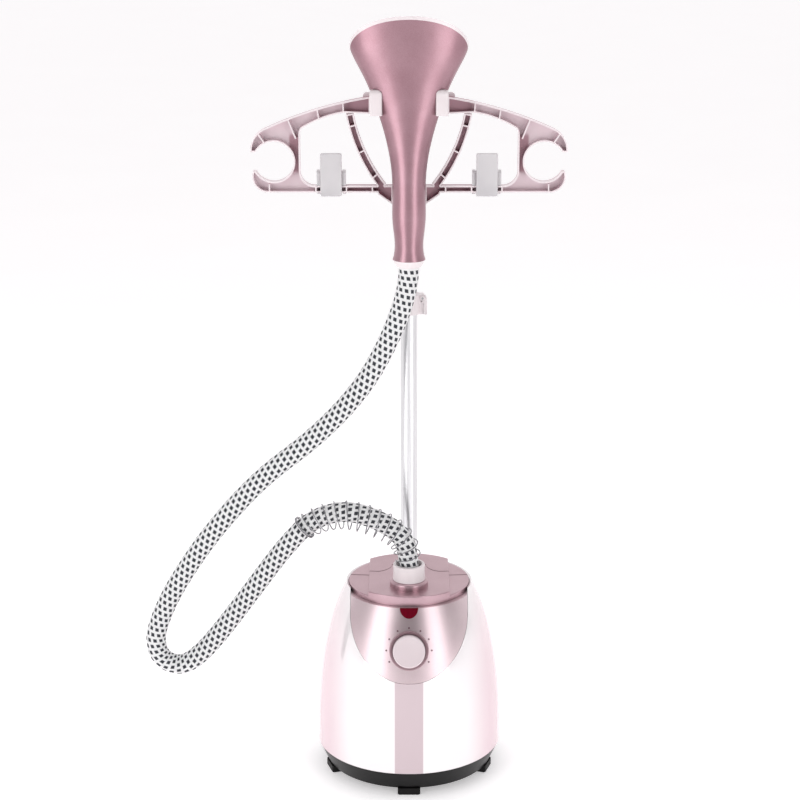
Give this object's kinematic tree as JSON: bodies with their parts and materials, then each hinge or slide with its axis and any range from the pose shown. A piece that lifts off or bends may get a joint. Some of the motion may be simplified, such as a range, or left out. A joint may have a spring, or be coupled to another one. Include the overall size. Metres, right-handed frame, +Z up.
{
  "type": "garment steamer",
  "caption": "Upright garment steamer with a round heated base, telescopic pole, garment hanger with clips, flared steam head and a braided hose.",
  "frame": {"origin": "centre of the base's footprint, on the floor", "axes": "+Z up along the pole; the control panel and knob face -Y; +X is the right-hand side seen from the front"},
  "size_m": [0.5706, 0.255, 1.046],
  "materials": {
    "black_plastic": "matte moulded ABS, near black",
    "foot_rubber": "matte rubber",
    "pearl_plastic": "glossy pearl white with a pink tint",
    "rose_gold": "satin metallic rose-gold lacquer on plastic",
    "red_lens": "dark red translucent lens",
    "clear_plastic": "clear plastic",
    "dark_ink": "printed dots",
    "inner_metal": "plated steel",
    "cast_aluminium": "as cast",
    "grey_plastic": "matte moulded plastic",
    "silicone": "translucent silicone",
    "pole_metal": "bright satin anodised tube",
    "white_plastic": "warm white satin plastic",
    "pink_plastic": "pale pink satin plastic",
    "grey_clip": "light grey satin plastic",
    "knob_plastic": "pale pink satin plastic",
    "dark_plate": "dark coated steam plate",
    "braid": "white braid with dark grey checks",
    "spring_steel": "bright drawn wire"
  },
  "bodies": {
    "base": {"base_plate": "black_plastic", "feet": "foot_rubber", "cord_gland": "foot_rubber", "body_shell": "pearl_plastic", "control_panel": "rose_gold", "indicator_lens": "red_lens", "level_window": "clear_plastic", "knob_bezel": "rose_gold", "steam_switch": "black_plastic", "dial_marks": "dark_ink", "front_cap": "rose_gold", "coupling_ring": "rose_gold", "steam_pipe": "inner_metal", "heater_element": "inner_metal", "heater_block": "cast_aluminium", "thermostat": "inner_metal", "thermal_fuse": "inner_metal", "tank_seat": "grey_plastic", "valve_pin": "grey_plastic", "inlet_tube": "silicone", "pole_socket": "grey_plastic", "pole_lower": "pole_metal", "pole_clamp": "white_plastic", "clamp_pin": "inner_metal", "base_screws": "inner_metal", "steam_hose": "braid", "hose_spring": "spring_steel"},
    "coupling": {"hose_coupling": "white_plastic"},
    "knob": {"control_knob": "knob_plastic", "knob_shaft": "inner_metal"},
    "tank": {"water_tank": "clear_plastic", "tank_cover": "rose_gold"},
    "valve_cap": {"tank_valve_cap": "grey_plastic", "valve_spring": "spring_steel"},
    "plunger": {"valve_plunger": "silicone"},
    "lever": {"clamp_lever": "white_plastic"},
    "mast": {"pole_upper": "pole_metal", "pole_bush": "grey_plastic", "hanger_hub": "pink_plastic", "hub_screw": "inner_metal", "hanger_wing_left": "pink_plastic", "hanger_wing_right": "pink_plastic", "head_cradle": "white_plastic", "cradle_pad_left": "white_plastic", "cradle_pad_right": "white_plastic"},
    "head": {"head_shell": "rose_gold", "steam_plate": "dark_plate", "plate_rim": "white_plastic", "head_cuff": "white_plastic", "head_steam_tube": "silicone"},
    "clip_left": {"clip_back_left": "grey_clip", "clip_pin_left": "inner_metal", "clip_spring_left": "spring_steel"},
    "jaw_left": {"clip_jaw_left": "grey_clip"},
    "clip_right": {"clip_back_right": "grey_clip", "clip_pin_right": "inner_metal", "clip_spring_right": "spring_steel"},
    "jaw_right": {"clip_jaw_right": "grey_clip"}
  },
  "joints": [
    {"name": "pole_extend", "type": "slide", "parent": "base", "child": "mast", "axis": [0, 0, 1], "range_m": [0, 0.3]},
    {"name": "head_lift", "type": "slide", "parent": "mast", "child": "head", "axis": [0, 0, 1], "range_m": [0, 0.07]},
    {"name": "knob_turn", "type": "hinge", "parent": "base", "child": "knob", "pos_m": [0, -0.10946, 0.21], "axis": [0, -0.9672, 0.2541], "range_deg": [-240, 0]},
    {"name": "coupling_turn", "type": "hinge", "parent": "base", "child": "coupling", "pos_m": [0, -0.038, 0.29], "axis": [0, 0, 1], "range_deg": [0, 60]},
    {"name": "lever_flip", "type": "hinge", "parent": "base", "child": "lever", "pos_m": [0.018, 0.018, 0.6675], "axis": [0, -1, 0], "range_deg": [0, 100]},
    {"name": "tank_lift", "type": "slide", "parent": "base", "child": "tank", "axis": [0, 0, 1], "range_m": [0, 0.22]},
    {"name": "valve_cap_turn", "type": "hinge", "parent": "tank", "child": "valve_cap", "pos_m": [0, 0.062, 0.065], "axis": [0, 0, 1], "range_deg": [0, 90]},
    {"name": "valve_open", "type": "slide", "parent": "valve_cap", "child": "plunger", "axis": [0, 0, 1], "range_m": [0, 0.003], "stiffness_N_per_m": 60, "springref_m": -0.002, "deforming": ["valve_spring"]},
    {"name": "clip_slide_left", "type": "slide", "parent": "mast", "child": "clip_left", "axis": [1, 0, 0], "range_m": [0, 0.018]},
    {"name": "clip_slide_right", "type": "slide", "parent": "mast", "child": "clip_right", "axis": [-1, 0, 0], "range_m": [0, 0.018]},
    {"name": "clip_open_left", "type": "hinge", "parent": "clip_left", "child": "jaw_left", "pos_m": [-0.102, 0.012, 0.8305], "axis": [-1, 0, 0], "range_deg": [0, 25], "stiffness_Nm_per_rad": 0.05, "springref_deg": -17.19},
    {"name": "clip_open_right", "type": "hinge", "parent": "clip_right", "child": "jaw_right", "pos_m": [0.102, 0.012, 0.8305], "axis": [-1, 0, 0], "range_deg": [0, 25], "stiffness_Nm_per_rad": 0.05, "springref_deg": -17.19}
  ]
}
